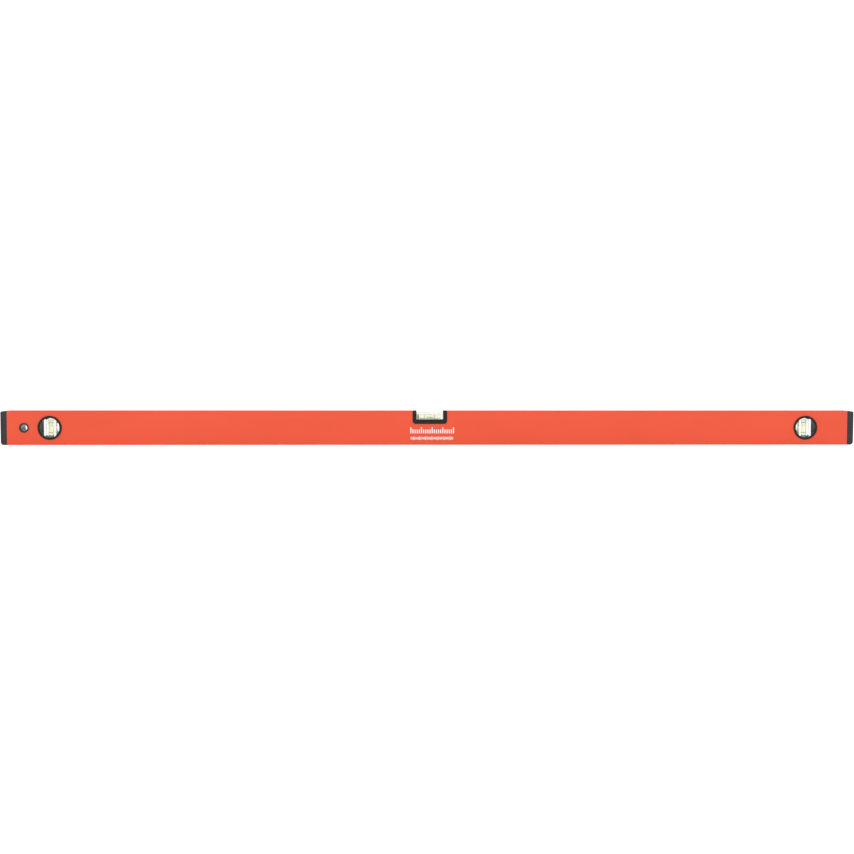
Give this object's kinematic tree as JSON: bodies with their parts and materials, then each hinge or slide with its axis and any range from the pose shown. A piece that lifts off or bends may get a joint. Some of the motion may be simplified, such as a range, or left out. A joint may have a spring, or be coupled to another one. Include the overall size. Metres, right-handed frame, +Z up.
{
  "type": "box section spirit level",
  "caption": "Long painted aluminium box-section spirit level with black end caps, a top-edge centre vial in a U-shaped housing, round plumb vials near the ends and a hang hole.",
  "frame": {"origin": "middle of the working edge, under the centre vial", "axes": "+X along the level towards the right-hand end, +Y through the thickness away from the front face, +Z up from the working edge to the top edge"},
  "size_m": [1.2, 0.0218, 0.048],
  "materials": {
    "orange_powder_coat": "satin powder coat on aluminium",
    "black_cap_plastic": "matte moulded, charcoal black",
    "black_housing_plastic": "satin moulded, black",
    "clear_acrylic": "polished, clear",
    "dark_green_stopper": "matte",
    "yellow_green_liquid": "clear tinted liquid",
    "black_ink": "printed",
    "air_bubble": "gas",
    "white_print": "printed marks on the front face"
  },
  "bodies": {
    "level_body": {"box_profile": "orange_powder_coat", "hang_grommet_front": "black_housing_plastic", "hang_grommet_back": "black_housing_plastic", "centre_housing_front": "black_housing_plastic", "centre_housing_back": "black_housing_plastic", "plumb_left_housing_front": "black_housing_plastic", "plumb_left_housing_back": "black_housing_plastic", "plumb_right_housing_front": "black_housing_plastic", "plumb_right_housing_back": "black_housing_plastic", "centre_vial_block": "clear_acrylic", "centre_vial_plug": "dark_green_stopper", "centre_vial_liquid": "yellow_green_liquid", "centre_reading_lines": "black_ink", "plumb_left_vial_block": "clear_acrylic", "plumb_left_vial_plug": "dark_green_stopper", "plumb_left_vial_liquid": "yellow_green_liquid", "plumb_left_reading_lines": "black_ink", "plumb_right_vial_block": "clear_acrylic", "plumb_right_vial_plug": "dark_green_stopper", "plumb_right_vial_liquid": "yellow_green_liquid", "plumb_right_reading_lines": "black_ink"},
    "centre_bubble_body": {"centre_bubble": "air_bubble"},
    "plumb_left_bubble_body": {"plumb_left_bubble": "air_bubble"},
    "plumb_right_bubble_body": {"plumb_right_bubble": "air_bubble"},
    "end_cap_left_body": {"end_cap_left": "black_cap_plastic"},
    "end_cap_right_body": {"end_cap_right": "black_cap_plastic"}
  },
  "joints": [
    {"name": "centre_bubble_run", "type": "slide", "parent": "level_body", "child": "centre_bubble_body", "axis": [1, 0, 0], "range_m": [-0.00945, 0.00945], "stiffness_N_per_m": 5},
    {"name": "plumb_left_bubble_run", "type": "slide", "parent": "level_body", "child": "plumb_left_bubble_body", "axis": [0, 0, 1], "range_m": [-0.0119, 0], "stiffness_N_per_m": 5},
    {"name": "plumb_right_bubble_run", "type": "slide", "parent": "level_body", "child": "plumb_right_bubble_body", "axis": [0, 0, 1], "range_m": [-0.0119, 0], "stiffness_N_per_m": 5},
    {"name": "end_cap_left_pull", "type": "slide", "parent": "level_body", "child": "end_cap_left_body", "axis": [-1, 0, 0], "range_m": [0, 0.025]},
    {"name": "end_cap_right_pull", "type": "slide", "parent": "level_body", "child": "end_cap_right_body", "axis": [1, 0, 0], "range_m": [0, 0.025]}
  ]
}
